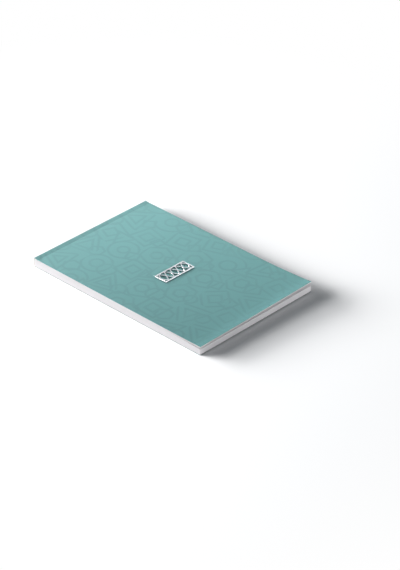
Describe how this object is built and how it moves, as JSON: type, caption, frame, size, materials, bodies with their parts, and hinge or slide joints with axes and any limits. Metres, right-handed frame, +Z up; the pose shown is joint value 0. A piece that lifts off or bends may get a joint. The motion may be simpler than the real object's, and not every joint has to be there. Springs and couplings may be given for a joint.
{
  "type": "notepad",
  "caption": "Soft-cover notepad, glued along its short head edge, with creased card covers that open flat, turning leaves and a raised metal ornament on the front.",
  "frame": {"origin": "on the surface that the closed pad lies on, under the middle of its length and width", "axes": "+Z up through the front cover, +Y along the length towards the glued spine, +X to the right as one looks down at the cover with the spine at the top"},
  "size_m": [0.148, 0.21, 0.0107],
  "materials": {
    "cover_card": "matt printed card, teal, white core",
    "paper": "uncoated white paper",
    "glue": "hot-melt binding glue",
    "silver_metal": "satin silver"
  },
  "bodies": {
    "binding": {"front_hinge_strip": "cover_card", "spine_panel": "cover_card", "back_hinge_strip": "cover_card", "spine_glue": "glue", "front_side_glue": "glue", "back_side_glue": "glue", "bound_leaf_margins": "paper"},
    "front_cover": {"front_cover": "cover_card", "cover_ornament": "silver_metal"},
    "back_cover": {"back_cover": "cover_card"},
    "leaf_01": {"leaf_01": "paper"},
    "leaf_02": {"leaf_02": "paper"},
    "leaf_03": {"leaf_03": "paper"},
    "leaf_04": {"leaf_04": "paper"},
    "leaf_05": {"leaf_05": "paper"},
    "leaf_06": {"leaf_06": "paper"},
    "leaf_07": {"leaf_07": "paper"},
    "leaf_08": {"leaf_08": "paper"},
    "leaf_09": {"leaf_09": "paper"},
    "leaf_10": {"leaf_10": "paper"},
    "leaf_11": {"leaf_11": "paper"},
    "leaf_12": {"leaf_12": "paper"},
    "leaf_13": {"leaf_13": "paper"},
    "leaf_14": {"leaf_14": "paper"},
    "leaf_15": {"leaf_15": "paper"},
    "leaf_16": {"leaf_16": "paper"},
    "leaf_17": {"leaf_17": "paper"},
    "leaf_18": {"leaf_18": "paper"},
    "leaf_19": {"leaf_19": "paper"},
    "leaf_20": {"leaf_20": "paper"},
    "leaf_21": {"leaf_21": "paper"},
    "leaf_22": {"leaf_22": "paper"},
    "leaf_23": {"leaf_23": "paper"},
    "leaf_24": {"leaf_24": "paper"},
    "leaf_25": {"leaf_25": "paper"},
    "leaf_26": {"leaf_26": "paper"},
    "leaf_27": {"leaf_27": "paper"},
    "leaf_28": {"leaf_28": "paper"},
    "leaf_29": {"leaf_29": "paper"},
    "leaf_30": {"leaf_30": "paper"},
    "leaf_31": {"leaf_31": "paper"},
    "leaf_32": {"leaf_32": "paper"},
    "leaf_33": {"leaf_33": "paper"},
    "leaf_34": {"leaf_34": "paper"},
    "leaf_35": {"leaf_35": "paper"},
    "leaf_36": {"leaf_36": "paper"},
    "leaf_37": {"leaf_37": "paper"},
    "leaf_38": {"leaf_38": "paper"},
    "leaf_39": {"leaf_39": "paper"},
    "leaf_40": {"leaf_40": "paper"},
    "leaf_41": {"leaf_41": "paper"},
    "leaf_42": {"leaf_42": "paper"},
    "leaf_43": {"leaf_43": "paper"},
    "leaf_44": {"leaf_44": "paper"},
    "leaf_45": {"leaf_45": "paper"},
    "leaf_46": {"leaf_46": "paper"},
    "leaf_47": {"leaf_47": "paper"},
    "leaf_48": {"leaf_48": "paper"}
  },
  "joints": [
    {"name": "front_cover_crease", "type": "hinge", "parent": "binding", "child": "front_cover", "pos_m": [0, 0.0994, 0.00831], "axis": [-1, 0, 0], "range_deg": [0, 178]},
    {"name": "back_cover_crease", "type": "hinge", "parent": "binding", "child": "back_cover", "pos_m": [0, 0.0994, 0], "axis": [1, 0, 0], "range_deg": [0, 178]},
    {"name": "leaf_01_turn", "type": "hinge", "parent": "binding", "child": "leaf_01", "pos_m": [0, 0.0994, 0.00831], "axis": [-1, 0, 0], "range_deg": [0, 177]},
    {"name": "leaf_02_turn", "type": "hinge", "parent": "binding", "child": "leaf_02", "pos_m": [0, 0.0994, 0.00831], "axis": [-1, 0, 0], "range_deg": [0, 176]},
    {"name": "leaf_03_turn", "type": "hinge", "parent": "binding", "child": "leaf_03", "pos_m": [0, 0.0994, 0.00831], "axis": [-1, 0, 0], "range_deg": [0, 174]},
    {"name": "leaf_04_turn", "type": "hinge", "parent": "binding", "child": "leaf_04", "pos_m": [0, 0.0994, 0.00831], "axis": [-1, 0, 0], "range_deg": [0, 173]},
    {"name": "leaf_05_turn", "type": "hinge", "parent": "binding", "child": "leaf_05", "pos_m": [0, 0.0994, 0.00831], "axis": [-1, 0, 0], "range_deg": [0, 171]},
    {"name": "leaf_06_turn", "type": "hinge", "parent": "binding", "child": "leaf_06", "pos_m": [0, 0.0994, 0.00831], "axis": [-1, 0, 0], "range_deg": [0, 170]},
    {"name": "leaf_07_turn", "type": "hinge", "parent": "binding", "child": "leaf_07", "pos_m": [0, 0.0994, 0.00831], "axis": [-1, 0, 0], "range_deg": [0, 169]},
    {"name": "leaf_08_turn", "type": "hinge", "parent": "binding", "child": "leaf_08", "pos_m": [0, 0.0994, 0.00831], "axis": [-1, 0, 0], "range_deg": [0, 167]},
    {"name": "leaf_09_turn", "type": "hinge", "parent": "binding", "child": "leaf_09", "pos_m": [0, 0.0994, 0.00831], "axis": [-1, 0, 0], "range_deg": [0, 166]},
    {"name": "leaf_10_turn", "type": "hinge", "parent": "binding", "child": "leaf_10", "pos_m": [0, 0.0994, 0.00831], "axis": [-1, 0, 0], "range_deg": [0, 164]},
    {"name": "leaf_11_turn", "type": "hinge", "parent": "binding", "child": "leaf_11", "pos_m": [0, 0.0994, 0.00831], "axis": [-1, 0, 0], "range_deg": [0, 163]},
    {"name": "leaf_12_turn", "type": "hinge", "parent": "binding", "child": "leaf_12", "pos_m": [0, 0.0994, 0.00831], "axis": [-1, 0, 0], "range_deg": [0, 161]},
    {"name": "leaf_13_turn", "type": "hinge", "parent": "binding", "child": "leaf_13", "pos_m": [0, 0.0994, 0.00831], "axis": [-1, 0, 0], "range_deg": [0, 160]},
    {"name": "leaf_14_turn", "type": "hinge", "parent": "binding", "child": "leaf_14", "pos_m": [0, 0.0994, 0.00831], "axis": [-1, 0, 0], "range_deg": [0, 159]},
    {"name": "leaf_15_turn", "type": "hinge", "parent": "binding", "child": "leaf_15", "pos_m": [0, 0.0994, 0.00831], "axis": [-1, 0, 0], "range_deg": [0, 157]},
    {"name": "leaf_16_turn", "type": "hinge", "parent": "binding", "child": "leaf_16", "pos_m": [0, 0.0994, 0.00831], "axis": [-1, 0, 0], "range_deg": [0, 156]},
    {"name": "leaf_17_turn", "type": "hinge", "parent": "binding", "child": "leaf_17", "pos_m": [0, 0.0994, 0.00831], "axis": [-1, 0, 0], "range_deg": [0, 154]},
    {"name": "leaf_18_turn", "type": "hinge", "parent": "binding", "child": "leaf_18", "pos_m": [0, 0.0994, 0.00831], "axis": [-1, 0, 0], "range_deg": [0, 153]},
    {"name": "leaf_19_turn", "type": "hinge", "parent": "binding", "child": "leaf_19", "pos_m": [0, 0.0994, 0.00831], "axis": [-1, 0, 0], "range_deg": [0, 151]},
    {"name": "leaf_20_turn", "type": "hinge", "parent": "binding", "child": "leaf_20", "pos_m": [0, 0.0994, 0.00831], "axis": [-1, 0, 0], "range_deg": [0, 150]},
    {"name": "leaf_21_turn", "type": "hinge", "parent": "binding", "child": "leaf_21", "pos_m": [0, 0.0994, 0.00831], "axis": [-1, 0, 0], "range_deg": [0, 149]},
    {"name": "leaf_22_turn", "type": "hinge", "parent": "binding", "child": "leaf_22", "pos_m": [0, 0.0994, 0.00831], "axis": [-1, 0, 0], "range_deg": [0, 147]},
    {"name": "leaf_23_turn", "type": "hinge", "parent": "binding", "child": "leaf_23", "pos_m": [0, 0.0994, 0.00831], "axis": [-1, 0, 0], "range_deg": [0, 146]},
    {"name": "leaf_24_turn", "type": "hinge", "parent": "binding", "child": "leaf_24", "pos_m": [0, 0.0994, 0.00831], "axis": [-1, 0, 0], "range_deg": [0, 144]},
    {"name": "leaf_25_turn", "type": "hinge", "parent": "binding", "child": "leaf_25", "pos_m": [0, 0.0994, 0], "axis": [1, 0, 0], "range_deg": [0, 144]},
    {"name": "leaf_26_turn", "type": "hinge", "parent": "binding", "child": "leaf_26", "pos_m": [0, 0.0994, 0], "axis": [1, 0, 0], "range_deg": [0, 146]},
    {"name": "leaf_27_turn", "type": "hinge", "parent": "binding", "child": "leaf_27", "pos_m": [0, 0.0994, 0], "axis": [1, 0, 0], "range_deg": [0, 147]},
    {"name": "leaf_28_turn", "type": "hinge", "parent": "binding", "child": "leaf_28", "pos_m": [0, 0.0994, 0], "axis": [1, 0, 0], "range_deg": [0, 149]},
    {"name": "leaf_29_turn", "type": "hinge", "parent": "binding", "child": "leaf_29", "pos_m": [0, 0.0994, 0], "axis": [1, 0, 0], "range_deg": [0, 150]},
    {"name": "leaf_30_turn", "type": "hinge", "parent": "binding", "child": "leaf_30", "pos_m": [0, 0.0994, 0], "axis": [1, 0, 0], "range_deg": [0, 151]},
    {"name": "leaf_31_turn", "type": "hinge", "parent": "binding", "child": "leaf_31", "pos_m": [0, 0.0994, 0], "axis": [1, 0, 0], "range_deg": [0, 153]},
    {"name": "leaf_32_turn", "type": "hinge", "parent": "binding", "child": "leaf_32", "pos_m": [0, 0.0994, 0], "axis": [1, 0, 0], "range_deg": [0, 154]},
    {"name": "leaf_33_turn", "type": "hinge", "parent": "binding", "child": "leaf_33", "pos_m": [0, 0.0994, 0], "axis": [1, 0, 0], "range_deg": [0, 156]},
    {"name": "leaf_34_turn", "type": "hinge", "parent": "binding", "child": "leaf_34", "pos_m": [0, 0.0994, 0], "axis": [1, 0, 0], "range_deg": [0, 157]},
    {"name": "leaf_35_turn", "type": "hinge", "parent": "binding", "child": "leaf_35", "pos_m": [0, 0.0994, 0], "axis": [1, 0, 0], "range_deg": [0, 159]},
    {"name": "leaf_36_turn", "type": "hinge", "parent": "binding", "child": "leaf_36", "pos_m": [0, 0.0994, 0], "axis": [1, 0, 0], "range_deg": [0, 160]},
    {"name": "leaf_37_turn", "type": "hinge", "parent": "binding", "child": "leaf_37", "pos_m": [0, 0.0994, 0], "axis": [1, 0, 0], "range_deg": [0, 161]},
    {"name": "leaf_38_turn", "type": "hinge", "parent": "binding", "child": "leaf_38", "pos_m": [0, 0.0994, 0], "axis": [1, 0, 0], "range_deg": [0, 163]},
    {"name": "leaf_39_turn", "type": "hinge", "parent": "binding", "child": "leaf_39", "pos_m": [0, 0.0994, 0], "axis": [1, 0, 0], "range_deg": [0, 164]},
    {"name": "leaf_40_turn", "type": "hinge", "parent": "binding", "child": "leaf_40", "pos_m": [0, 0.0994, 0], "axis": [1, 0, 0], "range_deg": [0, 166]},
    {"name": "leaf_41_turn", "type": "hinge", "parent": "binding", "child": "leaf_41", "pos_m": [0, 0.0994, 0], "axis": [1, 0, 0], "range_deg": [0, 167]},
    {"name": "leaf_42_turn", "type": "hinge", "parent": "binding", "child": "leaf_42", "pos_m": [0, 0.0994, 0], "axis": [1, 0, 0], "range_deg": [0, 169]},
    {"name": "leaf_43_turn", "type": "hinge", "parent": "binding", "child": "leaf_43", "pos_m": [0, 0.0994, 0], "axis": [1, 0, 0], "range_deg": [0, 170]},
    {"name": "leaf_44_turn", "type": "hinge", "parent": "binding", "child": "leaf_44", "pos_m": [0, 0.0994, 0], "axis": [1, 0, 0], "range_deg": [0, 171]},
    {"name": "leaf_45_turn", "type": "hinge", "parent": "binding", "child": "leaf_45", "pos_m": [0, 0.0994, 0], "axis": [1, 0, 0], "range_deg": [0, 173]},
    {"name": "leaf_46_turn", "type": "hinge", "parent": "binding", "child": "leaf_46", "pos_m": [0, 0.0994, 0], "axis": [1, 0, 0], "range_deg": [0, 174]},
    {"name": "leaf_47_turn", "type": "hinge", "parent": "binding", "child": "leaf_47", "pos_m": [0, 0.0994, 0], "axis": [1, 0, 0], "range_deg": [0, 176]},
    {"name": "leaf_48_turn", "type": "hinge", "parent": "binding", "child": "leaf_48", "pos_m": [0, 0.0994, 0], "axis": [1, 0, 0], "range_deg": [0, 177]}
  ],
  "couplings": [
    {"joint": "leaf_01_turn", "follows": "front_cover_crease", "ratio": 0.992},
    {"joint": "leaf_02_turn", "follows": "front_cover_crease", "ratio": 0.984},
    {"joint": "leaf_03_turn", "follows": "front_cover_crease", "ratio": 0.976},
    {"joint": "leaf_04_turn", "follows": "front_cover_crease", "ratio": 0.968},
    {"joint": "leaf_05_turn", "follows": "front_cover_crease", "ratio": 0.96},
    {"joint": "leaf_06_turn", "follows": "front_cover_crease", "ratio": 0.952},
    {"joint": "leaf_07_turn", "follows": "front_cover_crease", "ratio": 0.944},
    {"joint": "leaf_08_turn", "follows": "front_cover_crease", "ratio": 0.936},
    {"joint": "leaf_09_turn", "follows": "front_cover_crease", "ratio": 0.928},
    {"joint": "leaf_10_turn", "follows": "front_cover_crease", "ratio": 0.92},
    {"joint": "leaf_11_turn", "follows": "front_cover_crease", "ratio": 0.912},
    {"joint": "leaf_12_turn", "follows": "front_cover_crease", "ratio": 0.904},
    {"joint": "leaf_13_turn", "follows": "front_cover_crease", "ratio": 0.896},
    {"joint": "leaf_14_turn", "follows": "front_cover_crease", "ratio": 0.888},
    {"joint": "leaf_15_turn", "follows": "front_cover_crease", "ratio": 0.88},
    {"joint": "leaf_16_turn", "follows": "front_cover_crease", "ratio": 0.872},
    {"joint": "leaf_17_turn", "follows": "front_cover_crease", "ratio": 0.864},
    {"joint": "leaf_18_turn", "follows": "front_cover_crease", "ratio": 0.856},
    {"joint": "leaf_19_turn", "follows": "front_cover_crease", "ratio": 0.848},
    {"joint": "leaf_20_turn", "follows": "front_cover_crease", "ratio": 0.84},
    {"joint": "leaf_21_turn", "follows": "front_cover_crease", "ratio": 0.832},
    {"joint": "leaf_22_turn", "follows": "front_cover_crease", "ratio": 0.824},
    {"joint": "leaf_23_turn", "follows": "front_cover_crease", "ratio": 0.816},
    {"joint": "leaf_24_turn", "follows": "front_cover_crease", "ratio": 0.808},
    {"joint": "leaf_25_turn", "follows": "back_cover_crease", "ratio": 0.808},
    {"joint": "leaf_26_turn", "follows": "back_cover_crease", "ratio": 0.816},
    {"joint": "leaf_27_turn", "follows": "back_cover_crease", "ratio": 0.824},
    {"joint": "leaf_28_turn", "follows": "back_cover_crease", "ratio": 0.832},
    {"joint": "leaf_29_turn", "follows": "back_cover_crease", "ratio": 0.84},
    {"joint": "leaf_30_turn", "follows": "back_cover_crease", "ratio": 0.848},
    {"joint": "leaf_31_turn", "follows": "back_cover_crease", "ratio": 0.856},
    {"joint": "leaf_32_turn", "follows": "back_cover_crease", "ratio": 0.864},
    {"joint": "leaf_33_turn", "follows": "back_cover_crease", "ratio": 0.872},
    {"joint": "leaf_34_turn", "follows": "back_cover_crease", "ratio": 0.88},
    {"joint": "leaf_35_turn", "follows": "back_cover_crease", "ratio": 0.888},
    {"joint": "leaf_36_turn", "follows": "back_cover_crease", "ratio": 0.896},
    {"joint": "leaf_37_turn", "follows": "back_cover_crease", "ratio": 0.904},
    {"joint": "leaf_38_turn", "follows": "back_cover_crease", "ratio": 0.912},
    {"joint": "leaf_39_turn", "follows": "back_cover_crease", "ratio": 0.92},
    {"joint": "leaf_40_turn", "follows": "back_cover_crease", "ratio": 0.928},
    {"joint": "leaf_41_turn", "follows": "back_cover_crease", "ratio": 0.936},
    {"joint": "leaf_42_turn", "follows": "back_cover_crease", "ratio": 0.944},
    {"joint": "leaf_43_turn", "follows": "back_cover_crease", "ratio": 0.952},
    {"joint": "leaf_44_turn", "follows": "back_cover_crease", "ratio": 0.96},
    {"joint": "leaf_45_turn", "follows": "back_cover_crease", "ratio": 0.968},
    {"joint": "leaf_46_turn", "follows": "back_cover_crease", "ratio": 0.976},
    {"joint": "leaf_47_turn", "follows": "back_cover_crease", "ratio": 0.984},
    {"joint": "leaf_48_turn", "follows": "back_cover_crease", "ratio": 0.992}
  ]
}
